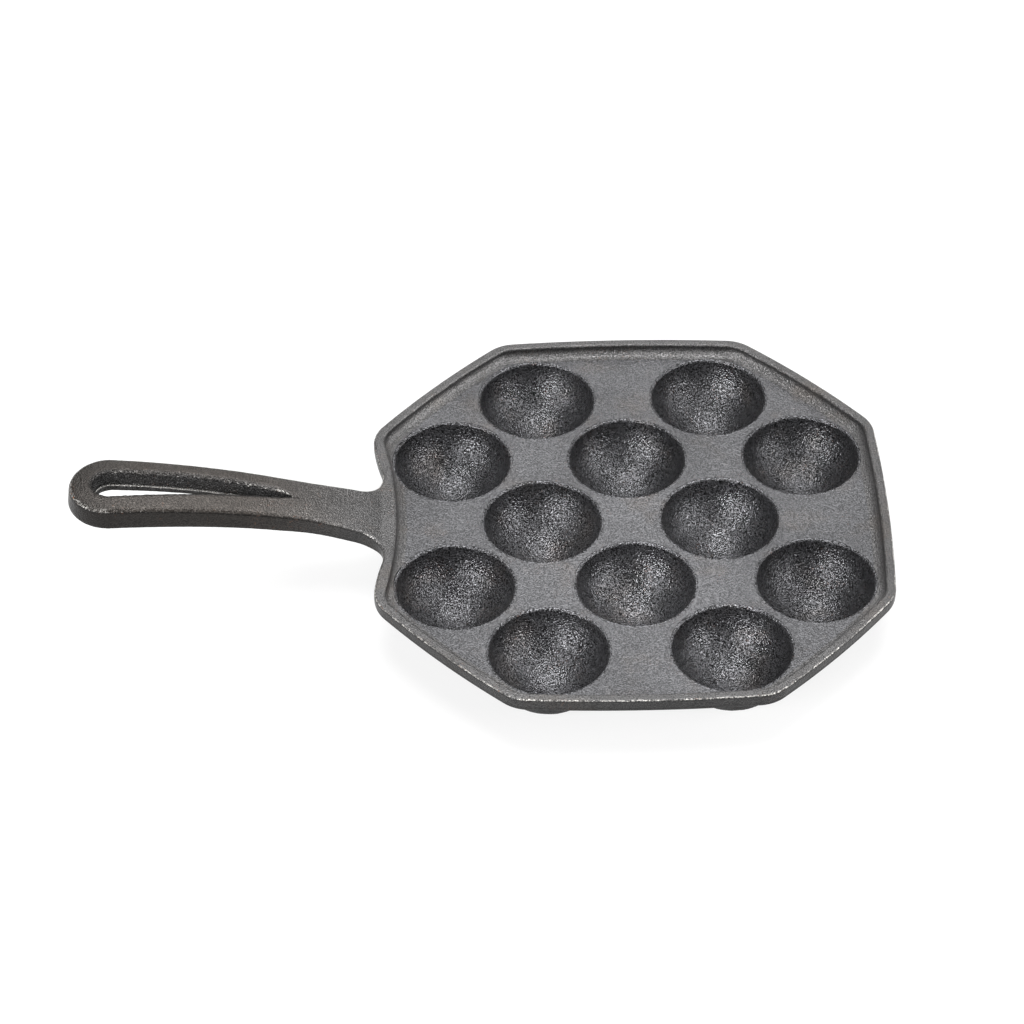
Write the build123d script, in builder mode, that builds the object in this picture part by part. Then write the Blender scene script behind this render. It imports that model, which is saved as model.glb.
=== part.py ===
"""Cast-iron takoyaki pan: an octagonal plate with twelve round-bottomed cups, a raised rim and an upswept handle
with a hanging loop.

The pan is poured as one casting. It is divided here into its plate, rim sides, cups and handle lengths, which meet
face to face. +X points away from the handle, +Y to the back and +Z up; the origin is under the middle of the whole
pan, on the surface that it stands on.
"""

from build123d import *
from math import asin, atan2, cos, hypot, radians, sin, sqrt, tan
import os

os.makedirs("parts", exist_ok=True)

# Cups, in millimetres
well_radius = 20.5  # bowl wall at the cooking face
well_depth = 18.3  # cooking face to the bottom of a bowl
lip_round = 1.0  # rounding of the bowl's edge
lip_land = 0.1  # flat ring outside that rounding
cup_wall = 2.5  # iron under the bottom of a bowl
foot_radius = 3.0  # flat under each cup
dome_shoulder = 0.8  # how far a cup's outside stands out under the plate, beyond its seat
dome_gap = 0.5  # between two neighbouring cups, just under the plate
stagger = 46.1  # degrees from +X of the line that joins the cups of neighbouring rows
cup_rows = ((2, (-1, 1)), (1, (-2, 0, 2)), (0, (-1, 1)), (-1, (-2, 0, 2)), (-2, (-1, 1)))  # row, columns

# Plate and rim
plate_thickness = 2.6
end_margin = 6.18  # bowl wall to the outside of the straight end
side_margin = 6.57  # bowl wall to the outside of the front and the back
corner_margin = 7.53  # bowl wall to the outside of the four slanted sides
root_margin = 7.98  # bowl wall to the corners beside the handle
side_bow = 1.65  # how far the middle of a side stands out from the line between its corners
corner_round = 14.0
rim_height = 4.2  # cooking face to the top of the rim
rim_width = 3.3
rim_draft = 5.0  # degrees, inside of the rim
rim_foot_round = 3.2  # hollow rounding between rim and cooking face
skirt_round = 3.6  # rounding under the outer edge, which runs on under the handle
edge_round = 0.9  # rounding of the top outer edge
inner_edge_round = 0.8  # rounding between the top of the rim and its inside

# Root of the handle
waist_depth = 3.4  # how far the rim draws in beside the handle
waist_land = 2.4  # straight between the flare and where it starts to draw in
waist_bow = 0.75
waist_round = 10.0  # plan rounding where the rim stops drawing in
handle_bulge = 5.0  # how far the inside of the rim swells in across the handle
flare_round = 9.0  # plan rounding between rim and handle
flare_land = 1.4  # handle kept with the rim beyond the flare

# Handle
handle_length = 106.8  # end of the plate to the tip
root_half = 11.2
neck_half = 10.1
neck_out = 21.0  # end of the plate to the narrowest place
neck_round = 120.0
loop_radius = 14.5
loop_wall = 8.7  # iron beyond the slot
slot_half = 6.6
slot_length = 70.0
slot_tip_round = 0.8
slot_round = 1.0  # rounding of the slot's edges
handle_rise = 17.3  # top of the rim to the top of the tip
handle_thickness = 8.9
fork_length = 8.0  # part of the slot's tip that belongs to the handle's root
loop_end_length = 16.0  # tip to where the loop end meets the rails

# The sweep of the handle's top and underside: shares of its length where the rise starts and has levelled off
top_start = 0.02
top_level = 0.37
under_start = 0.12
under_level = 0.22

# The cups stand in rows whose neighbours are half a step apart
seat_radius = well_radius + lip_round + lip_land
dome_radius_at_plate = seat_radius + dome_shoulder
cup_spacing = 2 * dome_radius_at_plate + dome_gap
column_pitch = cup_spacing * cos(radians(stagger))
row_pitch = cup_spacing * sin(radians(stagger))
cup_places = [(column * column_pitch, row * row_pitch) for row, columns in cup_rows for column in columns]
last_column = max(x for x, _ in cup_places)
last_row = max(y for _, y in cup_places)

# Sides of the octagon, as distances from the middle of the plate to the lines between its corners
end_line = last_column + well_radius + end_margin
root_line = last_column + well_radius + root_margin
side_line = last_row + well_radius + side_margin
slant = (sin(radians(stagger)), cos(radians(stagger)))  # outward direction of a slanted side
slant_line = slant[0] * column_pitch + slant[1] * last_row + well_radius + corner_margin
half_length = end_line + side_bow

deck_z = well_depth + cup_wall
under_z = deck_z - plate_thickness
plate_x = handle_length / 2
waist_x = root_line - waist_depth
waist_half = root_half + flare_round + waist_land
tip_x = half_length + handle_length
loop_x = tip_x - loop_radius
slot_x = tip_x - loop_wall - slot_half
slot_tip_x = tip_x - loop_wall - slot_length
neck_x = half_length + neck_out


def level(z):
    """Horizontal plane at height z whose origin is over the middle of the plate."""
    return Plane(origin=(plate_x, 0, z))


def corners(inset, reach):
    """Corners of a quarter of the octagon drawn in by inset: on its long side, and on the side that is reach away."""
    reach, width, slanted = reach - inset, side_line - inset, slant_line - inset
    return (
        ((slanted - slant[1] * width) / slant[0], width),
        (reach, (slanted - slant[0] * reach) / slant[1]),
    )


def bowed(start, end, bow):
    """Arc from start to end whose middle stands out to the right of that way by bow."""
    dx, dy = end[0] - start[0], end[1] - start[1]
    length = hypot(dx, dy)
    middle = ((start[0] + end[0]) / 2 + bow * dy / length, (start[1] + end[1]) / 2 - bow * dx / length)
    ThreePointArc(start, middle, end)


def seven_sides(inset):
    """Draws the octagon, drawn in by inset, but for its handle side, and gives that side's two ends."""
    (back_x, back_y), (end_x, end_y) = corners(inset, end_line)
    root_x, root_y = corners(inset, root_line)[1]
    front = [(-root_x, -root_y), (-back_x, -back_y), (back_x, -back_y), (end_x, -end_y)]
    points = front + [(x, -y) for x, y in reversed(front)]
    for start, end in zip(points, points[1:]):
        bowed(start, end, side_bow)
    return points[-1], points[0]


def inside_rim(inset, z):
    """Sketch at height z: the octagon drawn in by inset, with its handle side swelling in."""
    with BuildSketch(level(z)) as inside:
        with BuildLine():
            upper, lower = seven_sides(inset)
            bowed(upper, lower, -handle_bulge)
        make_face()
        fillet(inside.vertices(), corner_round - inset)
    return inside.sketch


# Plan of the plate, with its handle side drawn in beside the handle
with BuildSketch(level(under_z)) as plate_plan:
    with BuildLine():
        upper, lower = seven_sides(0)
        bowed(upper, (-waist_x, waist_half), waist_bow)
        Line((-waist_x, waist_half), (-waist_x, -waist_half))
        bowed((-waist_x, -waist_half), lower, waist_bow)
    make_face()
    waist_corners = plate_plan.vertices().group_by(Axis.X)[1]
    fillet(plate_plan.vertices() - waist_corners, corner_round)
    fillet(plate_plan.vertices().sort_by(lambda vertex: abs(vertex.X + waist_x))[:2], waist_round)

# Plan of the handle, whose straight sides touch the circle of its loop
neck_span = loop_x - neck_x
side_slope = asin(loop_radius / hypot(neck_span, neck_half)) - atan2(neck_half, neck_span)
loop_start = (-loop_x + loop_radius * sin(side_slope), loop_radius * cos(side_slope))
with BuildSketch(level(under_z)) as handle_plan:
    with BuildLine() as half_plan:
        side = FilletPolyline(
            (-waist_x, waist_half),
            (-waist_x, root_half),
            (-neck_x, neck_half),
            loop_start,
            radius=(flare_round, neck_round),
            mode=Mode.PRIVATE,
        )
        add(side.edges()[1:])
        ThreePointArc(loop_start, (-tip_x, 0), (loop_start[0], -loop_start[1]))
        mirror(side.edges()[1:], about=Plane.XZ)
        flare_start = (side.edges()[1] @ 0).Y
        Line((-waist_x, flare_start), (-waist_x, -flare_start))
    make_face()

# Side view of the handle: top and underside sweep up from the rim and level off towards the loop
tip_top = rim_height + handle_rise
tip_under = tip_top - handle_thickness
sweep = handle_length + waist_depth
with BuildSketch(Plane(origin=(plate_x, 0, deck_z), x_dir=(1, 0, 0), z_dir=(0, -1, 0))) as handle_side:
    with BuildLine():
        top = Bezier(
            (-waist_x, rim_height),
            (-waist_x - top_start * sweep, rim_height),
            (-waist_x - top_level * sweep, tip_top),
            (-tip_x, tip_top),
        )
        under = Bezier(
            (-waist_x, -plate_thickness),
            (-waist_x - under_start * sweep, -plate_thickness),
            (-waist_x - under_level * sweep, tip_under),
            (-tip_x, tip_under),
        )
        Line(top @ 0, under @ 0)
        Line(top @ 1, under @ 1)
    make_face()


def looking(part, up):
    """Faces of the part that look up, for up = 1, or down, for up = -1, and not sideways."""
    return part.faces().filter_by(lambda face: up * face.normal_at().Z > 0.5)


def outer_edges(faces):
    """Edges that bound the given faces together, without those that two of them share."""
    edges = [edge for face in faces for edge in face.edges()]
    return ShapeList(edge for edge in edges if sum(edge.is_same(other) for other in edges) == 1)


# Slot of the hanging loop: a round end, and two arcs that meet in a narrow tip
with BuildSketch(level(under_z)) as slot_plan:
    with BuildLine():
        TangentArc((-slot_x, slot_half), (-slot_tip_x, 0), tangent=(1, 0))
        TangentArc((-slot_x, -slot_half), (-slot_tip_x, 0), tangent=(1, 0))
        ThreePointArc((-slot_x, slot_half), (-slot_x - slot_half, 0), (-slot_x, -slot_half))
    make_face()
    fillet(slot_plan.vertices().sort_by(Axis.X)[-1], slot_tip_round)

with BuildPart() as handle_blank:
    add(handle_plan.sketch)
    extrude(amount=tip_top + plate_thickness)
    extrude(handle_side.sketch, amount=sweep, both=True, mode=Mode.INTERSECT)

# The whole casting with its outer roundings, still without its hollow and its cups
with BuildPart() as casting:
    add(plate_plan.sketch)
    extrude(amount=rim_height + plate_thickness)
    add(handle_blank.part)
    fillet(outer_edges(looking(casting.part, -1)), skirt_round)
    fillet(outer_edges(looking(casting.part, 1)), edge_round)
    add(slot_plan.sketch)
    extrude(amount=tip_top + plate_thickness, mode=Mode.SUBTRACT)
    slot_walls = casting.faces(Select.LAST).filter_by(lambda face: abs(face.normal_at().Z) < 0.1)
    slot_edges = [edge for edge in slot_walls.edges() if edge.geom_type != GeomType.LINE]
    fillet(slot_edges, slot_round)

# What is hollow above the cooking face
foot_inset = rim_width + rim_height * tan(radians(rim_draft))
with BuildPart() as hollow:
    loft([inside_rim(foot_inset, deck_z), inside_rim(rim_width, deck_z + rim_height)])
    fillet(hollow.faces().sort_by(Axis.Z)[0].edges(), rim_foot_round)

# Plate inside the rim, before the cups' seats are cut
deck_inset = foot_inset + rim_foot_round
with BuildPart() as seats:
    with BuildSketch(level(under_z)):
        with Locations(*cup_places):
            Circle(seat_radius)
    extrude(amount=rim_height + plate_thickness)

# One cup: a round bowl with a rounded lip, let into the plate and domed outside down to its flat foot
dome_centre = (dome_radius_at_plate**2 + plate_thickness**2 - foot_radius**2 - deck_z**2) / (
    2 * (deck_z - plate_thickness)
)
dome_radius = hypot(dome_radius_at_plate, plate_thickness + dome_centre)
dome_middle = (dome_radius_at_plate + foot_radius) / 2
with BuildPart() as cup:
    with BuildSketch(Plane.XZ):
        with BuildLine():
            bowl = TangentArc((0, cup_wall), (well_radius, deck_z), tangent=(1, 0))
            Polyline(
                bowl @ 1, (seat_radius, deck_z), (seat_radius, under_z), (dome_radius_at_plate, under_z)
            )
            ThreePointArc(
                (dome_radius_at_plate, under_z),
                (dome_middle, deck_z + dome_centre - sqrt(dome_radius**2 - dome_middle**2)),
                (foot_radius, 0),
            )
            Polyline((foot_radius, 0), (0, 0), bowl @ 0)
        lip = make_face().vertices().sort_by(lambda vertex: abs(Vector(vertex) - (bowl @ 1)))
        fillet(lip[0], lip_round)
    revolve(axis=Axis.Z)

with BuildPart() as deck_plate:
    extrude(inside_rim(deck_inset, deck_z), amount=-plate_thickness)
    add(seats.part, mode=Mode.SUBTRACT)

# Rim and handle in one, before they are divided
with BuildPart() as frame:
    add(casting.part)
    add(hollow.part, mode=Mode.SUBTRACT)
    hollow_walls = frame.faces(Select.LAST).filter_by(lambda face: 0 < face.normal_at().Z < 0.3)
    fillet(hollow_walls.edges().group_by(Axis.Z)[-1], inner_edge_round)
    extrude(inside_rim(deck_inset, deck_z), amount=-plate_thickness, mode=Mode.SUBTRACT)
    add(seats.part, mode=Mode.SUBTRACT)


def finish(part, name):
    """Labels a finished piece and writes it."""
    part.label = name
    export_step(part, f"parts/{name}.step")


def cut_across(distance, keep):
    """Keeps what lies on one side of an upright plane across the handle: Keep.TOP towards the plate."""
    split(bisect_by=Plane(origin=(plate_x - distance, 0, 0), z_dir=(1, 0, 0)), keep=keep)


def cut_from_middle(direction, keep):
    """Keeps one side of an upright plane through the plate's middle that runs along direction."""
    split(bisect_by=Plane(origin=(plate_x, 0, 0), z_dir=(-direction[1], direction[0], 0)), keep=keep)


def finish_pair(back_piece, name):
    """Finishes a piece of the back half as name_back, and its mirror image as name_front."""
    finish(back_piece, f"{name}_back")
    with BuildPart() as front_piece:
        add(mirror(back_piece, about=Plane.XZ, mode=Mode.PRIVATE))
    finish(front_piece.part, f"{name}_front")


finish(deck_plate.part, "deck_plate")

for number, (x, y) in enumerate(cup_places, start=1):
    with BuildPart() as well_cup:
        with Locations((plate_x + x, y, 0)):
            add(cup.part)
    finish(well_cup.part, f"well_cup_{number:02d}")

# The rim by itself, and its sides, each from one corner to the next. The front half mirrors the back half.
root_cut = waist_x + flare_round + flare_land
with BuildPart() as rim_ring:
    add(frame.part)
    cut_across(root_cut, Keep.TOP)

back_corner, end_corner = corners(0, end_line)
far_back_corner, far_end_corner = ((-x, y) for x, y in corners(0, root_line))
with BuildPart() as rim_end:
    add(rim_ring.part)
    cut_from_middle((end_corner[0], -end_corner[1]), Keep.TOP)
    cut_from_middle(end_corner, Keep.BOTTOM)
finish(rim_end.part, "rim_end")

with BuildPart() as rim_handle_side:
    add(rim_ring.part)
    cut_from_middle(far_end_corner, Keep.TOP)
    cut_from_middle((far_end_corner[0], -far_end_corner[1]), Keep.BOTTOM)
finish(rim_handle_side.part, "rim_handle_side")

for name, start, end in (
    ("rim_right", end_corner, back_corner),
    ("rim_long", back_corner, far_back_corner),
    ("rim_left", far_back_corner, far_end_corner),
):
    with BuildPart() as rim_side:
        add(rim_ring.part)
        cut_from_middle(start, Keep.TOP)
        cut_from_middle(end, Keep.BOTTOM)
    finish_pair(rim_side.part, name)

# The handle: a forked root, two rails beside the slot and the end of the loop
rail_cut = slot_tip_x + fork_length
loop_cut = tip_x - loop_end_length
with BuildPart() as handle:
    add(frame.part)
    cut_across(root_cut, Keep.BOTTOM)

with BuildPart() as handle_root:
    add(handle.part)
    cut_across(rail_cut, Keep.TOP)
finish(handle_root.part, "handle_root")

with BuildPart() as handle_rail:
    add(handle.part)
    cut_across(rail_cut, Keep.BOTTOM)
    cut_across(loop_cut, Keep.TOP)
    split(bisect_by=Plane(origin=(0, 0, 0), z_dir=(0, 1, 0)), keep=Keep.TOP)
finish_pair(handle_rail.part, "handle_rail")

with BuildPart() as handle_loop_end:
    add(handle.part)
    cut_across(loop_cut, Keep.BOTTOM)
finish(handle_loop_end.part, "handle_loop_end")
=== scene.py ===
"""Looks of a cast-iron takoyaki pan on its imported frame.

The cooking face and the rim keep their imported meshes, and the cups and the handle are modelled surfaces.
All of it is sand-cast iron, and it stands on a pale floor in studio light. Lengths are in millimetres, and
become metres where a mesh, a material or the camera is made.
"""

from math import cos, radians, sin, sqrt

import bpy
import numpy as np
from mathutils import Matrix, Vector


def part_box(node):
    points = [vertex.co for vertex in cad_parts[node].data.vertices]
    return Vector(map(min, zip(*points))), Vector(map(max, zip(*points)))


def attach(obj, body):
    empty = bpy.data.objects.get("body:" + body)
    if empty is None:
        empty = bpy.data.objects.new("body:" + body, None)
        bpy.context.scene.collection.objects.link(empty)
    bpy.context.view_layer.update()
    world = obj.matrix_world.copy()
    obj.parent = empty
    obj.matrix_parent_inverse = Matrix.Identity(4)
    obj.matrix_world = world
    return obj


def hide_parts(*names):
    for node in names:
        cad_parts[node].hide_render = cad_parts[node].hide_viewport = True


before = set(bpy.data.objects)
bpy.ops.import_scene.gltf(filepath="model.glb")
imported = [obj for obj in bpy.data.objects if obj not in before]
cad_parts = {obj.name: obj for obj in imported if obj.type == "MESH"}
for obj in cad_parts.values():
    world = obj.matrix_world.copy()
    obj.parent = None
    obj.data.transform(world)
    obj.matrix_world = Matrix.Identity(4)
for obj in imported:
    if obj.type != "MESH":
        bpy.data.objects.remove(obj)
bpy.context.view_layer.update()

MM = 0.001  # one millimetre in Blender's metres
BODY = "root"


def node_box(name):
    """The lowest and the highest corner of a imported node, in millimetres."""
    low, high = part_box(name)
    return np.array(low) / MM, np.array(high) / MM


# Where things are, read from the frame
plate_low, plate_high = node_box("deck_plate")
under_height = plate_low[2]
deck_height = plate_high[2]
plate_middle = sum(node_box("well_cup_04"))[0] / 2  # this cup stands in the middle of the plate's length
tip_x = node_box("handle_loop_end")[0][0]
handle_top = node_box("handle_loop_end")[1][2]
cut_x = node_box("handle_root")[1][0]  # where the handle meets the rim's piece
rim_top = node_box("rim_end")[1][2]


# ---------------------------------------------------------------- materials

# Widths of the patterns in the iron
cloud_size = 26.0
bloom_size = 17.0
sand_size = 0.5
grain_size = 0.5
satin_size = 6.0
# Rubbed edges are also painted bright as a highlight; these sizes set its breaks and stretches too
chip_size = 0.7  # breaks in a rubbed edge
worn_sheen_size = 13.0  # stretches of an edge that are rubbed more or less
fleck_size = 0.8
rust_patch_size = 9.0

# Colours besides each iron's own
handle_brown = (0.073, 0.064, 0.057)
# Bright grey of rubbed edges, which also serves as a painted highlight
rubbed_sheen_grey = (0.66, 0.64, 0.61, 1)
rust_orange = (0.34, 0.14, 0.065, 1)
bloom_warmth = (1.08, 0.98, 0.88)  # red, green and blue of a bloom, as shares of the iron's own

# Stretches along x over which the tone or the colour changes
tip_stretch = (-150.0, -105.0)
rail_stretch = (-90.0, -42.0)
root_stretch = (-44.0, -34.0)
brown_stretch = (-85.0, -35.0)
rim_stretch = (-46.0, -43.0)  # from the handle's root to the rim

# Painted pool of light: the pan is palest at this place and darker away from it
pool_left, pool_front = 10.0, 34.0  # palest place, from the plate's middle to the handle and to the front
# The sandy walls of the slot keep at least this tone under the painted shade
slot_tone = 0.42  # tone of the sandy walls of the handle's slot
rust_on_flats = 0.12  # how much of the rust on edges there is elsewhere


def new_material(name):
    """An empty node material and its Principled shader."""
    material = bpy.data.materials.new(name)
    material.use_nodes = True
    return material, material.node_tree.nodes["Principled BSDF"]


class Graph:
    """Short calls for the nodes of one material. It knows each point's place and which way it faces."""

    def __init__(self, material):
        self.nodes = material.node_tree.nodes
        self.links = material.node_tree.links
        self.place = self.add("ShaderNodeTexCoord").outputs["Object"]
        self.x, self.y, self.z = self.parts(self.place)
        facing = self.add("ShaderNodeNewGeometry").outputs["Normal"]
        self.facing_x, self.facing_y, self.up = self.parts(facing)

    def add(self, kind, **settings):
        """A new node with its settings."""
        node = self.nodes.new(kind)
        for key, value in settings.items():
            setattr(node, key, value)
        return node

    def feed(self, socket, value):
        """Links a socket to another node's output, or sets it to a constant."""
        if isinstance(value, bpy.types.NodeSocket):
            self.links.new(value, socket)
        else:
            socket.default_value = value

    def parts(self, vector):
        """The x, y and z of a vector."""
        node = self.add("ShaderNodeSeparateXYZ")
        self.feed(node.inputs["Vector"], vector)
        return tuple(node.outputs)

    def attribute(self, name):
        """A value that the mesh carries, or 0 where it carries none."""
        return self.add("ShaderNodeAttribute", attribute_name=name).outputs["Fac"]

    def noise(self, size, detail=2.0, roughness=0.5):
        """Smooth noise from 0 to 1 whose features are about size millimetres wide."""
        node = self.add("ShaderNodeTexNoise")
        self.feed(node.inputs["Vector"], self.place)
        node.inputs["Scale"].default_value = 1 / (size * MM)
        node.inputs["Detail"].default_value = detail
        node.inputs["Roughness"].default_value = roughness
        return node.outputs["Fac"]

    def span(self, value, low, high, start=0.0, end=1.0):
        """Maps value from low..high to start..end with a smooth step, and holds it outside."""
        node = self.add("ShaderNodeMapRange", interpolation_type="SMOOTHSTEP")
        self.feed(node.inputs["Value"], value)
        for key, bound in (("From Min", low), ("From Max", high), ("To Min", start), ("To Max", end)):
            node.inputs[key].default_value = bound
        return node.outputs["Result"]

    def span_mm(self, length, low, high, start=0.0, end=1.0):
        """The same for a length in the object's metres, with low and high in millimetres."""
        return self.span(length, low * MM, high * MM, start, end)

    def calc(self, operation, *values):
        """One step of arithmetic."""
        node = self.add("ShaderNodeMath", operation=operation)
        for socket, value in zip(node.inputs, values):
            self.feed(socket, value)
        return node.outputs["Value"]

    def product(self, first, *others):
        """All the values multiplied."""
        for value in others:
            first = self.calc("MULTIPLY", first, value)
        return first

    def highest(self, first, *others):
        """The highest of the values."""
        for value in others:
            first = self.calc("MAXIMUM", first, value)
        return first

    def line(self, value, slope, start):
        """value times slope, plus start."""
        return self.calc("MULTIPLY_ADD", value, slope, start)

    def scaled(self, colour, factor):
        """A colour times a factor."""
        node = self.add("ShaderNodeVectorMath", operation="SCALE")
        node.inputs["Vector"].default_value = colour
        self.feed(node.inputs["Scale"], factor)
        return node.outputs["Vector"]

    def blend(self, share, first, second):
        """Mixes two colours."""
        node = self.add("ShaderNodeMix", data_type="RGBA")
        self.feed(node.inputs["Factor"], share)
        self.feed(node.inputs["A"], first)
        self.feed(node.inputs["B"], second)
        return node.outputs["Result"]

    def bump(self, height, distance):
        """Bump whose height of 1 stands distance millimetres high."""
        node = self.add("ShaderNodeBump")
        node.inputs["Distance"].default_value = distance * MM
        self.feed(node.inputs["Height"], height)
        return node.outputs["Normal"]


def handle_shade(graph):
    """Tone along x: dark at the handle's tip, palest at its root, and a little darker again on the plate."""
    tip = graph.span_mm(graph.x, *tip_stretch, 0.37, 0.86)
    rails = graph.span_mm(graph.x, *rail_stretch, 0.97, 1.3)
    plate = graph.span_mm(graph.x, *root_stretch, 1.0, 1 / 1.17)
    return graph.product(tip, rails, plate)


def light_pool_tone(graph):
    """Painted pool of light: the pan darkens with the distance from a place in front of the plate's middle.
    """
    beside = graph.calc("ADD", graph.x, (pool_left - plate_middle) * MM)
    ahead = graph.calc("ADD", graph.y, pool_front * MM)
    squares = graph.calc("ADD", graph.calc("POWER", beside, 2.0), graph.calc("POWER", ahead, 2.0))
    return graph.span_mm(graph.calc("SQRT", squares), 25.0, 90.0, 1.03, 0.88)


def facing_outwards(graph):
    """1 where the surface faces away from the plate's middle, and 0 where it faces it."""
    away = graph.calc("SUBTRACT", graph.x, plate_middle * MM)
    outwards = graph.line(graph.y, graph.facing_y, graph.product(away, graph.facing_x))
    return graph.span_mm(outwards, 0.0, 3.0)


def painted_slope_shade(graph, outward, coarse):
    """Painted shade by slope: walls are darker and their roundings darker still, and flats keep their tone.

    The rounding at the foot of the rim's inner side gets a painted highlight instead, least so along the
    back, and the coarse walls of the slot have a tone of their own."""
    steep = graph.span(graph.up, 0.22, 0.42, 0.42, 0.2)
    flat = graph.span(graph.up, 0.42, 0.66, 0.2, 1.0)
    inward = graph.calc("SUBTRACT", 1.0, outward)
    # Painted highlight on the rounding at the foot of the rim's inner side, weaker along the back
    foot = graph.product(graph.span(graph.up, 0.1, 0.45, 0.9, 1.5), graph.span(graph.up, 0.99, 0.9))
    back = graph.span(graph.facing_y, -1.0, -0.7, 0.62, 1.0)
    on_plate = graph.span_mm(graph.x, *rim_stretch)
    painted_foot_highlight = graph.product(inward, foot, back, on_plate)
    return graph.highest(steep, flat, painted_foot_highlight, graph.product(coarse, slot_tone))


def outer_edge(graph, outward):
    """1 on the outer rounding of the rim and the handle, which faces neither up nor sideways."""
    slanted = graph.product(graph.span(graph.up, 0.4, 0.62), graph.span(graph.up, 0.95, 0.82))
    above_deck = graph.span_mm(graph.z, deck_height + 1.5, deck_height + 3.0)
    return graph.product(slanted, above_deck, outward)


def rubbed_bare(graph, edge, wear_and_sheen, bare):
    """Edges rubbed to bright iron in broken stretches, with a painted highlight on them, and a painted
    highlight along the seam.
    """
    broken = graph.span(graph.noise(chip_size, roughness=0.7), 0.44, 0.58)
    worn_sheen = graph.span(graph.noise(worn_sheen_size, detail=1.0), 0.38, 0.54, 0.25 * wear_and_sheen, wear_and_sheen)
    return graph.highest(graph.product(edge, broken, worn_sheen), bare)


def rust(graph, edge):
    """Rust sits in flecks, in some patches more than in others and mostly along edges."""
    fleck = graph.span(graph.noise(fleck_size), 0.62, 0.69)
    patch = graph.span(graph.noise(rust_patch_size), 0.52, 0.62)
    return graph.product(fleck, patch, graph.highest(edge, rust_on_flats))


def iron_colour(graph, colour, tone, coarse):
    """The iron's own colour, browner along the handle except on coarse walls, with a warm bloom in places."""
    clean = graph.line(coarse, -0.9, 1.0)
    brown = graph.product(graph.span_mm(graph.x, *brown_stretch, 1.0, 0.0), clean)
    tinted = graph.blend(brown, graph.scaled(colour, tone), graph.scaled(handle_brown, tone))
    bloom = graph.span(graph.noise(bloom_size, detail=4.0, roughness=0.6), 0.5, 0.72, 0.0, 0.55)
    bloom = graph.product(bloom, graph.calc("SUBTRACT", 1.0, brown))
    warm = tuple(part * share for part, share in zip(colour, bloom_warmth))
    return graph.blend(bloom, tinted, graph.scaled(warm, tone))


def cast_iron(name, colour, roughness, grain_depth, sandy, wear_and_sheen, metal=0.6, shade_walls=True):
    """Sand-cast iron: fine grain, slow changes of tone, a painted pool of light, painted shade by slope,
    rubbed edges that carry a painted highlight, and specks of rust.

    sandy is how much single grains differ in tone, and the next argument how far edges are rubbed to bright
    iron, with a painted highlight on them. Painted shade darkens the walls, or else the undersides, as the
    last argument says.
    A mesh may carry coarse, where its sand is coarser, and a value that lays a painted highlight along the
    seam."""
    material, shader = new_material(name)
    graph = Graph(material)
    coarse = graph.attribute("coarse")
    # Painted highlight along the handle's seam, carried by the mesh
    bare = graph.attribute("bare")
    outward = facing_outwards(graph)
    under = graph.span(graph.up, -0.2, 0.0, 1.0, 0.0)

    cloud = graph.span(graph.noise(cloud_size, detail=3.0), 0.3, 0.7, 0.88, 1.12)
    sand = graph.span(graph.noise(sand_size, detail=1.0), 0.35, 0.65, 1 - sandy, 1 + sandy)
    # Painted shade: darker walls and roundings, or else darker undersides
    painted_shade = painted_slope_shade(graph, outward, coarse) if shade_walls else graph.line(under, -0.8, 1.0)
    # The tone includes a painted pool of light and painted shade by slope
    tone = graph.product(cloud, sand, handle_shade(graph), painted_shade, light_pool_tone(graph))
    edge = outer_edge(graph, outward)
    tinted = iron_colour(graph, colour, tone, coarse)
    # Rubbed edges: partly real rubbing and partly a painted highlight
    tinted = graph.blend(rubbed_bare(graph, edge, wear_and_sheen, bare), tinted, rubbed_sheen_grey)
    tinted = graph.blend(rust(graph, edge), tinted, rust_orange)
    graph.feed(shader.inputs["Base Color"], tinted)

    # Coarse sand is a little smoother to the light, and undersides are duller
    satin = graph.span(graph.noise(satin_size, detail=3.0), 0.3, 0.7, roughness - 0.03, roughness + 0.03)
    satin = graph.line(under, 0.4, graph.line(coarse, -0.18, satin))
    graph.feed(shader.inputs["Roughness"], satin)

    grain = graph.product(graph.noise(grain_size, detail=0.0), graph.line(coarse, 2.2, 1.0))
    graph.feed(shader.inputs["Normal"], graph.bump(grain, grain_depth))
    shader.inputs["Metallic"].default_value = metal
    return material


rim_grey = (0.101, 0.099, 0.099)
plate_iron = cast_iron("plate_iron", (0.103, 0.103, 0.108), 0.36, 0.26, sandy=0.42, wear_and_sheen=0.0)
rim_iron = cast_iron("rim_iron", rim_grey, 0.35, 0.24, sandy=0.42, wear_and_sheen=0.9)
# The cups get their painted shade on their undersides rather than on their walls
cup_iron = cast_iron(
    "cup_iron", (0.09, 0.09, 0.095), 0.27, 0.25, sandy=0.9, wear_and_sheen=0.0, metal=0.75, shade_walls=False
)
handle_iron = cast_iron("handle_iron", rim_grey, 0.35, 0.24, sandy=0.42, wear_and_sheen=0.6)

finishes = {"well": cup_iron, "rim": rim_iron, "handle": handle_iron, "deck": plate_iron}
for node_name, node_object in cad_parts.items():
    node_object.data.materials.clear()
    node_object.data.materials.append(finishes[node_name.split("_")[0]])

# ---------------------------------------------------------------- surfaces

lattice_size = 64
lattice = np.random.default_rng(11).random((lattice_size,) * 3)


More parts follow.
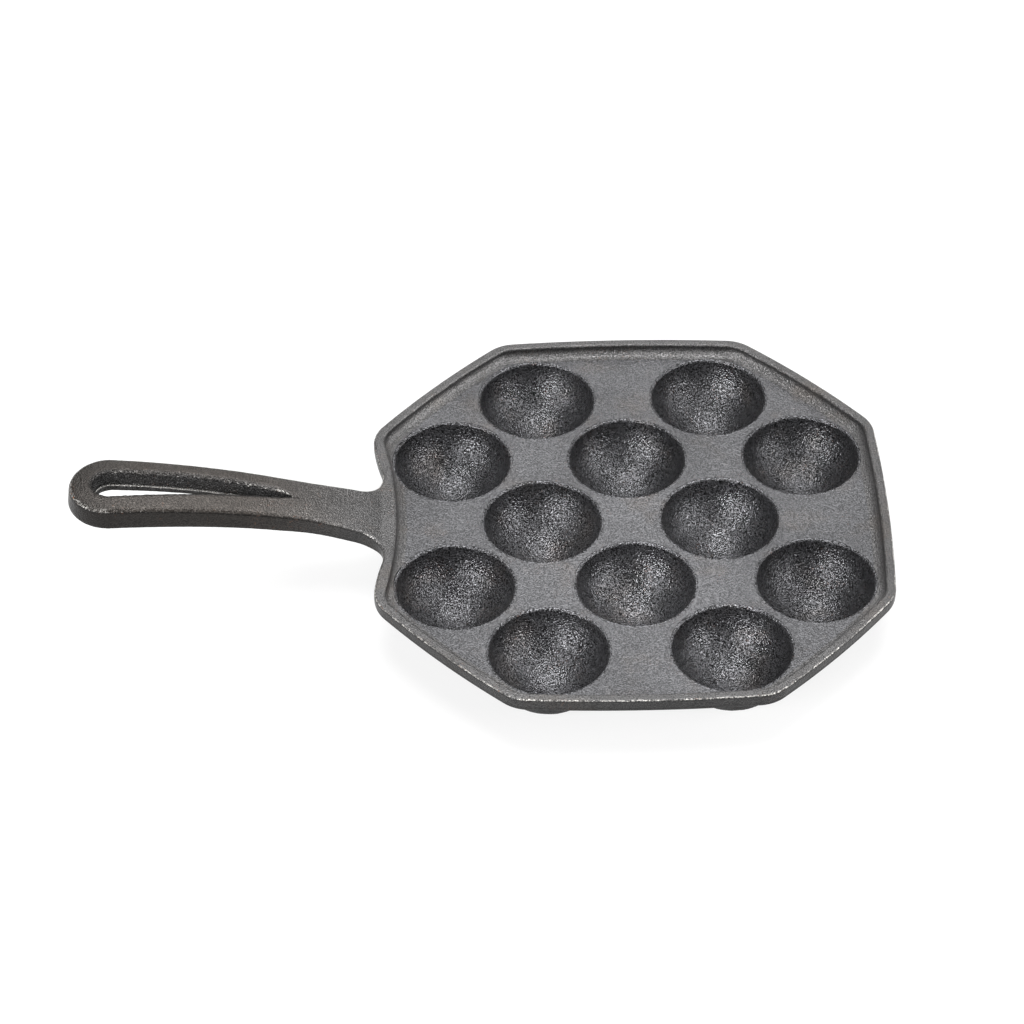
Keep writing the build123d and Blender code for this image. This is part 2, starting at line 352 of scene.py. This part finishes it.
def field(points, size, shift):
    """Smooth random field from -1 to 1 at the points.

    Random numbers stand on a cubic lattice whose edges are size millimetres long. Between them the value is
    blended along each axis by 6 t^5 - 15 t^4 + 10 t^3. shift picks another part of the lattice."""
    place = points / size + shift
    cell = np.floor(place).astype(int)
    part = place - cell
    fade = part**3 * (part * (part * 6 - 15) + 10)
    total = np.zeros(len(points))
    for corner in np.ndindex(2, 2, 2):
        share = np.where(corner, fade, 1 - fade).prod(axis=1)
        i, j, k = ((cell + corner) % lattice_size).T
        total += share * lattice[i, j, k]
    return 2 * total - 1


def disc_grid(steps):
    """A square grid laid on a disc, without a pole: (share of the radius, cosine, sine) at each grid point.

    A point (u, v) of the square from -1 to 1 goes to the radius max(|u|, |v|), at an angle that runs evenly
    along each side of its ring."""
    line = np.linspace(-1, 1, steps + 1)
    u, v = np.meshgrid(line, line, indexing="ij")
    wide = abs(u) >= abs(v)
    reach = np.where(wide, u, v)
    ratio = np.where(wide, v, u) / np.where(reach == 0, 1, reach)
    angle = np.where(wide, ratio, 2 - ratio) * np.pi / 4
    turned = np.where(reach < 0, angle + np.pi, angle)
    return abs(reach), np.cos(turned), np.sin(turned)


def grid_faces(index):
    """The quads of a grid of vertex numbers."""
    corners = [index[:-1, :-1], index[1:, :-1], index[1:, 1:], index[:-1, 1:]]
    return np.stack(corners, axis=-1).reshape(-1, 4)


def surface(name, points, faces, material, replaced, slot, **shares):
    """Makes a smooth mesh piece from points in millimetres and quads, and puts it in place of its CAD nodes.

    Points that no face uses are left out. shares are the mesh's attributes, with a value for each point."""
    mesh = bpy.data.meshes.new(name)
    used, faces = np.unique(faces, return_inverse=True)
    faces = faces.reshape(-1, 4)
    mesh.vertices.add(len(used))
    mesh.vertices.foreach_set("co", (points[used] * MM).astype(np.float32).ravel())
    mesh.loops.add(faces.size)
    mesh.loops.foreach_set("vertex_index", faces.astype(np.int32).ravel())
    mesh.polygons.add(len(faces))
    mesh.polygons.foreach_set("loop_start", np.arange(0, faces.size, 4, dtype=np.int32))
    mesh.polygons.foreach_set("use_smooth", np.ones(len(faces), dtype=bool))
    mesh.update(calc_edges=True)
    for share, values in shares.items():
        attribute = mesh.attributes.new(share, "FLOAT", "POINT")
        attribute.data.foreach_set("value", values[used].astype(np.float32))
    mesh.materials.append(material)
    piece = bpy.data.objects.new(name, mesh)
    bpy.context.scene.collection.objects.link(piece)
    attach(piece, BODY)
    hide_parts(*replaced)
    return piece


def arc(centre, radius, start, end, count=40):
    """Points (r, z) along an arc, from the start angle to the end angle in degrees."""
    turn = np.radians(np.linspace(start, end, count))
    return np.stack([centre[0] + radius * np.cos(turn), centre[1] + radius * np.sin(turn)], axis=1)


def along(profile, share):
    """Points and normals of a profile of (r, z) points at shares of its length.

    The normal is the profile's direction turned a quarter to the left."""
    step = np.diff(profile, axis=0)
    reach = np.concatenate([[0], np.cumsum(np.hypot(*step.T))])
    wanted = share * reach[-1]
    small = reach[-1] * 1e-4

    def at(length):
        inside = np.clip(length, 0, reach[-1])
        return np.interp(inside, reach, profile[:, 0]), np.interp(inside, reach, profile[:, 1])

    r, z = at(wanted)
    ahead, behind = at(wanted + small), at(wanted - small)
    dr, dz = ahead[0] - behind[0], ahead[1] - behind[1]
    size = np.hypot(dr, dz)
    return r, z, -dz / size, dr / size


# ---------------------------------------------------------------- cups

well_radius = 20.5
lip_round = 1.0
lip_land = 0.1
cup_wall = 2.5
foot_radius = 3.0
foot_round = 0.8
dome_blend = 1.2  # hollow rounding between a dome and the plate's underside
cup_count = 12
cup_steps = 180
arc_count = 200  # points of a bowl's or a dome's profile

seat_radius = well_radius + lip_round + lip_land
well_depth = deck_height - cup_wall
bowl_radius = (well_radius**2 + well_depth**2) / (2 * well_depth)
bowl_centre = cup_wall + bowl_radius

# The sandy relief of each side, as (height, width of the grains), and how it dies out
bowl_relief = ((0.052, 0.62), (0.025, 1.4))
dome_relief = ((0.04, 0.7), (0.06, 2.2))
relief_fade = 4.0  # from the cup's edge inwards
relief_fade_power = 0.85
foot_fade = 1.0  # from the ground upwards, so that the feet stay flat

# Shares of the grid's radius, and the shares of the profile's length that they are laid at
bowl_spread = ((0, 0.85, 1), (0, 0.88, 1))
dome_spread = ((0, 0.85, 1), (0, 0.9, 1))


def bowl_profile():
    """Bowl, lip and land from the axis outwards, as (r, z): a circle about the axis, an outward rounding that
    touches it and the cooking face, and a flat ring."""
    lip_height = deck_height - lip_round
    lip_reach = sqrt((bowl_radius + lip_round) ** 2 - (bowl_centre - lip_height) ** 2)
    meet = np.degrees(np.arctan2(lip_height - bowl_centre, lip_reach))
    bowl = arc((0, bowl_centre), bowl_radius, -90, meet, arc_count)
    lip = arc((lip_reach, lip_height), lip_round, meet + 180, 90)
    return np.concatenate([bowl, lip[1:], [(seat_radius, deck_height)]])


def dome_profile(dome_radius_at_plate):
    """Foot and dome from the axis outwards, as (r, z): a flat, a rounding, a circle about the axis, a hollow
    rounding up to the plate's underside, and the wall hidden in the plate."""
    centre = (dome_radius_at_plate**2 + under_height**2 - foot_radius**2) / (2 * under_height)
    radius = sqrt(dome_radius_at_plate**2 + (under_height - centre) ** 2)
    foot_reach = sqrt((radius - foot_round) ** 2 - (centre - foot_round) ** 2)
    leave = np.degrees(np.arctan2(foot_round - centre, foot_reach))
    blend_height = under_height - dome_blend
    blend_reach = sqrt((radius + dome_blend) ** 2 - (blend_height - centre) ** 2)
    meet = np.degrees(np.arctan2(blend_height - centre, blend_reach))
    foot = arc((foot_reach, foot_round), foot_round, -90, leave)
    dome = arc((0, centre), radius, leave, meet, arc_count)
    blend = arc((blend_reach, blend_height), dome_blend, meet + 180, 90)
    walls = [(seat_radius, under_height), (seat_radius, deck_height)]
    return np.concatenate([[(0, 0)], foot, dome[1:], blend[1:], walls])


def cup_points(middle, profile, spread, side, relief, shift):
    """A profile turned about the upright line through middle, then moved along its normal by a random relief.

    side is 1 where the surface faces up and -1 where it faces down. The relief is the sum of its fields, and
    fades towards the cup's edge and towards the ground."""
    share, cosine, sine = disc_grid(cup_steps)
    r, z, normal_r, normal_z = (values.ravel() for values in along(profile, np.interp(share, *spread)))
    cosine, sine = cosine.ravel(), sine.ravel()
    points = np.stack([middle[0] + r * cosine, middle[1] + r * sine, z], axis=1)
    normals = side * np.stack([normal_r * cosine, normal_r * sine, normal_z], axis=1)
    height = sum(lift * field(points, size, shift + n) for n, (lift, size) in enumerate(relief))
    edge_share = np.clip((seat_radius - r) / relief_fade, 0, 1) ** relief_fade_power
    ground_share = np.clip(z / foot_fade, 0, 1)
    return points + normals * (height * edge_share * ground_share)[:, None]


def make_cup(number):
    """One cup: its bowl side and its dome side on the same square grid, joined along the grid's border."""
    node = f"well_cup_{number:02d}"
    low, high = node_box(node)
    middle = (low + high) / 2
    dome_radius_at_plate = (high[0] - low[0]) / 2
    bowl = cup_points(middle, bowl_profile(), bowl_spread, 1, bowl_relief, number)
    dome = cup_points(middle, dome_profile(dome_radius_at_plate), dome_spread, -1, dome_relief, -number)
    top = np.arange((cup_steps + 1) ** 2).reshape(cup_steps + 1, -1)
    bottom = top + top.size
    for border in (np.s_[0], np.s_[-1], np.s_[:, 0], np.s_[:, -1]):
        bottom[border] = top[border]
    faces = np.concatenate([grid_faces(top), grid_faces(bottom)[:, ::-1]])
    surface(f"cup_{number:02d}", np.concatenate([bowl, dome]), faces, cup_iron, [node], "pan_iron")


for number in range(1, cup_count + 1):
    make_cup(number)

# ---------------------------------------------------------------- handle

HANDLE_NODES = ("handle_root", "handle_rail_back", "handle_rail_front", "handle_loop_end")

# Seen from the side
handle_thickness = 8.9
waist_x = tip_x + 110.05  # where its top and underside start to sweep upwards
sweep = 110.2
top_pulls = (0.02, 0.37)  # inner points of the top's curve, as shares of the sweep
under_pulls = (0.12, 0.22)

# Seen from above
root_half = 11.2
neck_half, neck_x, neck_round = 10.1, tip_x + 85.8, 120.0
loop_radius = 14.5
loop_x = tip_x + loop_radius
slot_x = tip_x + 15.3  # middle of the slot's round end
slot_end = 6.3  # the slot's round end, towards the tip
slot_back, slot_front = 5.7, 5.8  # half widths of the slot where its round end starts
slot_reach = 63.0  # slot's round end to its pointed tip
lean = 0.65  # the handle's middle drifts to the back by this much

# The section
draft = 0.95  # the section is wider at its foot by this much on each side
draft_above = 0.7  # the share of the draft that the top edge gives, and the foot gives the rest
slot_draft = 0.5  # the slot's foot is narrower by this much on each side
slot_draft_growth = 0.4  # the share of the slot along which that draft grows
slot_edge_round = 2.0
slot_foot_round = 1.0
slot_fade = 5.0  # the slot's rounding runs on past its tip over this distance
handle_edge_round = 1.5
handle_foot_round = 2.0
rim_edge_round = 0.9
rim_foot_round = 3.6
rim_blend = 25.0  # distance from the rim over which the handle's section becomes the rim's
crown_lift = 0.85
crown = 0.007  # the top falls by this times the square of the distance from the middle
seam_depth, seam_height, seam_width = 5.9, 0.45, 0.22  # casting seam on the slot's wall, below the top
# Painted highlight along the casting seam, as a share of the rubbed edges' bright grey
seam_sheen_share = 0.8
wall_reach = 0.01  # a point this close to the slot's wall belongs to it
narrowest_seam, narrowest_slot = 0.4, 0.2  # no seam and no coarse wall where the slot is narrower
coarse_foot = (0.2, 0.1, 0.1)  # the wall's foot: how coarse it is, its share of the height, and its blend

# Its sandy relief, as (height, width of the grains, part of the lattice)
handle_sand = (0.03, 0.75, 3.0)
handle_waves = (0.02, 1.8, 7.0)
slot_sand_height = 0.1  # the sand stands higher by this on the slot's walls
rim_relief_fade = 8.0  # from the rim outwards

curve_count = 400
straight_steps, loop_steps = 264, 72
side_steps = (26, 16, 20, 26)  # along the section's top, outside, underside and slot
round_steps = 10
circle_pull = 0.5523  # where the inner points of a cubic curve stand to make it nearly a quarter circle


def cubic(t, a, b, c, d):
    """The point at t from 0 to 1 of a cubic curve: (1-t)^3 a + 3 (1-t)^2 t b + 3 (1-t) t^2 c + t^3 d."""
    return (1 - t) ** 3 * a + 3 * (1 - t) ** 2 * t * b + 3 * (1 - t) * t**2 * c + t**3 * d


def swept_curve(root_height, tip_height, pulls):
    """Points (x, z) of a cubic curve from the waist to the tip that leaves and arrives level."""
    first, second = (waist_x - pull * sweep for pull in pulls)
    x = (waist_x, first, second, tip_x)
    z = (root_height, root_height, tip_height, tip_height)
    return cubic(np.linspace(0, 1, curve_count)[:, None], *np.stack([x, z], axis=1))


top_curve = swept_curve(rim_top, handle_top, top_pulls)
under_curve = swept_curve(under_height, handle_top - handle_thickness, under_pulls)


def height_at(x, curve):
    """The height of a swept curve at x. Past its ends it stays level."""
    return np.interp(x, curve[::-1, 0], curve[::-1, 1])


def back_gap(past):
    """Half width of the slot's back side at a share of its length: w sqrt(1 - past^2.2)."""
    return slot_back * np.sqrt(1 - past**2.2)


def front_gap(past):
    """Half width of the slot's front side at a share of its length: w (1 - past)."""
    return slot_front * (1 - past)


def outside_line(foot, turn, along_x):
    """Distance from the middle line to the handle's outside at each station.

    Along the straight part there are two lines that widen from the neck, one to the root and one to the loop,
    whose circle it touches. Within t of the neck, (t - d)^2 / (2 r) at the distance d rounds their corner.
    Round the loop it is the distance from the middle of the slot's round end to the loop's circle."""
    to_root = (root_half - neck_half) / (waist_x - neck_x)
    neck_reach = neck_x - loop_x
    touch = np.arcsin(loop_radius / np.hypot(neck_reach, neck_half))
    to_loop = np.tan(touch - np.arctan2(neck_half, neck_reach))
    near_side = neck_half + to_root * (foot - neck_x)
    far_side = neck_half - to_loop * (foot - neck_x)
    tangent = neck_round * (to_root + to_loop) / 2
    rounding = np.clip(tangent - abs(foot - neck_x), 0, None) ** 2 / (2 * neck_round)
    straight = np.maximum(near_side, far_side) + rounding
    shift = loop_x - slot_x
    loop = shift * along_x + np.sqrt(loop_radius**2 - shift**2 * (1 - along_x**2))
    return np.where(turn > 90, loop, straight)


def slot_line(foot, turn, gap):
    """Distance from the middle line to the slot's wall at each station, and the share of the slot passed.

    The gap narrows to the slot's pointed tip. Round its other end it goes to slot_end by a sine squared."""
    past = np.clip((foot - slot_x) / slot_reach, 0, 1)
    round_end = gap(0) + (slot_end - gap(0)) * np.sin(np.radians(turn - 90)) ** 2
    return np.where(turn > 90, round_end, gap(past)), past


def rounded_outline(corners, reach):
    """Outlines through four corners each, in rounded form: an array (stations, points, 2).

    corners has the shape (4, stations, 2) and reach (4, stations). A rounding leaves both sides at reach from
    its corner, as a cubic curve whose inner points lie at circle_pull of the way to the corner."""
    rows = []
    t = np.linspace(0, 1, round_steps, endpoint=False)[:, None, None]
    for n in range(4):
        corner, following = corners[n], corners[(n + 1) % 4]
        after = corners[(n + 2) % 4]
        ahead = following - corner
        ahead = ahead / np.linalg.norm(ahead, axis=1, keepdims=True)
        onward = after - following
        onward = onward / np.linalg.norm(onward, axis=1, keepdims=True)
        start = corner + ahead * reach[n][:, None]
        leave = following - ahead * reach[(n + 1) % 4][:, None]
        share = np.linspace(0, 1, side_steps[n], endpoint=False)[:, None, None]
        rows.append(start + share * (leave - start))
        enter = following + onward * reach[(n + 1) % 4][:, None]
        first = leave + circle_pull * (following - leave)
        second = enter + circle_pull * (following - enter)
        rows.append(cubic(t, leave, first, second, enter))
    return np.concatenate(rows).transpose(1, 0, 2)


def slot_rounding(foot):
    """Reach of the rounding on the slot's upper edge, which runs out round the slot's pointed tip."""
    return slot_edge_round * np.clip((slot_x + slot_reach + slot_fade - foot) / (2 * slot_fade), 0, 1)


def handle_sections(foot, outside, inside, past, depth):
    """Rounded quadrilaterals between the slot and the outside, as (distance, height above the underside).

    The outside is drafted, and so is the slot's wall further along it. Towards the rim the roundings become
    the rim's and the draft runs out."""
    near_rim = np.clip((foot - cut_x + rim_blend) / rim_blend, 0, 1)
    outer_round = handle_edge_round + (rim_edge_round - handle_edge_round) * near_rim
    under_round = handle_foot_round + (rim_foot_round - handle_foot_round) * near_rim
    lower = inside - slot_draft * np.clip(past / slot_draft_growth, 0, 1) * np.clip(inside, 0, 1)
    drafted = draft * (1 - near_rim)
    zero = np.zeros_like(foot)
    corners = np.array([
        np.stack([inside, depth], axis=1),
        np.stack([outside - draft_above * drafted, depth], axis=1),
        np.stack([outside + (1 - draft_above) * drafted, zero], axis=1),
        np.stack([lower, zero], axis=1),
    ])
    reach = np.array([slot_rounding(foot), outer_round, under_round, np.clip(lower, 0, slot_foot_round)])
    return rounded_outline(corners, reach)


def half_handle(gap, side):
    """One half of the handle: its points, as an array (stations, section points, 3), how coarse they are, and
    how far they stand on the seam.

    A station is an upright half plane: along the straight part it stands on the middle line and looks
    sideways, and at the loop it turns about the middle of the slot's round end, from sideways to the tip. A
    section is a rounded quadrilateral between the slot (or the middle) and the outside. The top is lifted by
    crown_lift, less crown times the square of the distance from the half plane's foot. side is 1 for the back
    half and -1 for the front half."""
    foot = np.concatenate([np.linspace(cut_x, slot_x, straight_steps), np.full(loop_steps, slot_x)])
    turn = np.concatenate([np.full(straight_steps, 90.0), np.linspace(90, 180, loop_steps + 1)[1:]])
    along_x, along_y = np.cos(np.radians(turn)), np.sin(np.radians(turn))
    inside, past = slot_line(foot, turn, gap)
    depth = height_at(foot, top_curve) - height_at(foot, under_curve)
    section = handle_sections(foot, outside_line(foot, turn, along_x), inside, past, depth)
    distance, level = section[..., 0], section[..., 1]
    foot, along_x, along_y, inside, depth = (row[:, None] for row in (foot, along_x, along_y, inside, depth))

    # The seam stands out from the slot's wall
    seam = np.exp(-(((depth - seam_depth - level) / seam_width) ** 2)) * seam_height
    on_wall = (distance < inside + wall_reach) & (inside > narrowest_seam)
    distance = np.where(on_wall, distance - seam, distance)

    # From the half planes to the pan
    x = foot + distance * along_x
    y = side * distance * along_y
    y = y + lean * np.clip((cut_x - x) / (cut_x - tip_x), 0, 1)
    low, high = height_at(x, under_curve), height_at(x, top_curve)
    share = level / depth
    grown = np.clip((cut_x - x) / rim_blend, 0, 1)
    z = low + share * (high - low) + grown * (crown_lift - crown * distance**2) * share

    # The slot's wall is coarse, but hardly so at its foot
    coarse = np.clip((inside + slot_rounding(foot) - distance) / slot_edge_round, 0, 1)
    least, start, growth = coarse_foot
    above_foot = np.clip((share - start) / growth, 0, 1)
    coarse = coarse * (inside > narrowest_slot) * (least + (1 - least) * above_foot)
    return np.stack([x, y, z], axis=-1), coarse, np.where(on_wall, seam / seam_height, 0)


def vertex_normals(points, faces):
    """Unit normals at the vertices, from the faces around each."""
    a, b, c, d = (points[faces[:, n]] for n in range(4))
    cross = np.cross(c - a, d - b)
    total = np.zeros_like(points)
    for n in range(4):
        np.add.at(total, faces[:, n], cross)
    return total / np.maximum(np.linalg.norm(total, axis=1, keepdims=True), 1e-12)


def handle_relief(points, coarse):
    """Height of the handle's sand: two random fields, the finer one higher on the slot's walls. Both fade out
    at the rim."""
    sand_height, sand_width, sand_shift = handle_sand
    wave_height, wave_width, wave_shift = handle_waves
    sand = (sand_height + slot_sand_height * coarse) * field(points, sand_width, sand_shift)
    waves = wave_height * field(points, wave_width, wave_shift)
    return (sand + waves) * np.clip((cut_x - points[:, 0]) / rim_relief_fade, 0, 1)


def make_handle():
    """The handle from the rim's piece to its tip: two halves that share the vertices on the middle plane."""
    back, back_coarse, back_seam = half_handle(back_gap, 1)
    front, front_coarse, front_seam = half_handle(front_gap, -1)
    points = np.concatenate([back.reshape(-1, 3), front.reshape(-1, 3)])
    coarse = np.concatenate([back_coarse.ravel(), front_coarse.ravel()])
    # The seam gets a painted highlight
    bare = seam_sheen_share * np.concatenate([back_seam.ravel(), front_seam.ravel()])
    stations, ring = back.shape[:2]
    back_index = np.arange(stations * ring).reshape(stations, ring)
    front_index = back_index + back_index.size
    on_middle = abs(back[..., 1] - front[..., 1]) < 1e-6
    front_index[on_middle] = back_index[on_middle]
    back_ring = np.concatenate([back_index, back_index[:, :1]], axis=1)
    front_ring = np.concatenate([front_index, front_index[:, :1]], axis=1)
    cap = np.stack([back_ring[0, 1:], back_ring[0, :-1], front_ring[0, :-1], front_ring[0, 1:]], axis=1)
    faces = np.concatenate([grid_faces(back_ring), grid_faces(front_ring)[:, ::-1], cap])

    # Where the slot has closed, the two halves need no wall between them
    middle = np.tile(on_middle.ravel(), 2) & (points[:, 0] > slot_x)
    faces = faces[~middle[faces].all(axis=1)]

    moved = points + vertex_normals(points, faces) * handle_relief(points, coarse)[:, None]
    surface("handle", moved, faces, handle_iron, HANDLE_NODES, "handle_iron", coarse=coarse, bare=bare)


make_handle()

# ---------------------------------------------------------------- stage

floor_half = 3.0  # metres
sky_strength = 0.125


def make_floor():
    """A plain pale floor at the cups' feet, lit a little from inside, so that shadows on it stay faint."""
    mesh = bpy.data.meshes.new("floor")
    signs = ((-1, -1), (1, -1), (1, 1), (-1, 1))
    mesh.from_pydata([(x * floor_half, y * floor_half, 0) for x, y in signs], [], [(0, 1, 2, 3)])
    floor = bpy.data.objects.new("floor", mesh)
    bpy.context.scene.collection.objects.link(floor)
    material, shader = new_material("pale_floor")
    shader.inputs["Base Color"].default_value = (0.22, 0.22, 0.22, 1)
    shader.inputs["Roughness"].default_value = 0.9
    shader.inputs["Specular IOR Level"].default_value = 0.0
    shader.inputs["Emission Color"].default_value = (1, 1, 1, 1)
    shader.inputs["Emission Strength"].default_value = 0.8
    mesh.materials.append(material)


def away_from_pan(azimuth, elevation):
    """The direction from the pan towards an azimuth and an elevation in degrees.

    Azimuth 0 is in front of the pan, and 90 at its far end."""
    a, e = radians(azimuth), radians(elevation)
    return Vector((sin(a) * cos(e), -cos(a) * cos(e), sin(e)))


def soft_light(name, azimuth, elevation, spread, strength):
    """A round soft light far away, spread degrees across."""
    light = bpy.data.lights.new(name, "SUN")
    light.angle = radians(spread)
    light.energy = strength
    lamp = bpy.data.objects.new(name, light)
    bpy.context.scene.collection.objects.link(lamp)
    lamp.rotation_mode = "QUATERNION"
    lamp.rotation_quaternion = away_from_pan(azimuth, elevation).to_track_quat("Z", "Y")


def make_sky():
    """An even white sky, dim beside the lights."""
    world = bpy.data.worlds.new("studio")
    bpy.context.scene.world = world
    world.use_nodes = True
    sky = world.node_tree.nodes["Background"]
    sky.inputs["Color"].default_value = (1, 1, 1, 1)
    sky.inputs["Strength"].default_value = sky_strength
    bpy.context.scene.view_settings.view_transform = "Standard"


make_floor()
soft_light("top_light", 180, 82, 34, 2.45)
soft_light("back_light", 180, 41, 40, 0.95)
soft_light("left_light", -40, 28, 28, 2.55)
soft_light("right_light", 68, 28, 26, 1.5)
soft_light("far_light", 114, 33, 40, 0.85)
soft_light("near_light", -111, 36, 40, 0.2)
make_sky()

# ---------------------------------------------------------------- camera

sensor_width = 36
lens = 138.25
view_elevation = 42.713  # degrees
view_azimuth = -1.495
view_roll = -0.040
view_distance = 1395.93
view_target = (11.3, 5.16, 20.8)


def make_camera():
    """A camera that looks at view_target from view_distance, turned by view_roll about its own line."""
    back = away_from_pan(view_azimuth, view_elevation)
    roll = radians(view_roll)
    level_right = (-back).cross(Vector((0, 0, 1))).normalized()
    level_up = level_right.cross(-back)
    right = cos(roll) * level_right + sin(roll) * level_up
    up = -sin(roll) * level_right + cos(roll) * level_up
    data = bpy.data.cameras.new("camera")
    data.sensor_width = sensor_width
    data.lens = lens
    camera = bpy.data.objects.new("camera", data)
    bpy.context.scene.collection.objects.link(camera)
    camera.matrix_world = Matrix((right, up, back)).transposed().to_4x4()
    camera.location = Vector(view_target) * MM + back * view_distance * MM
    bpy.context.scene.camera = camera


make_camera()
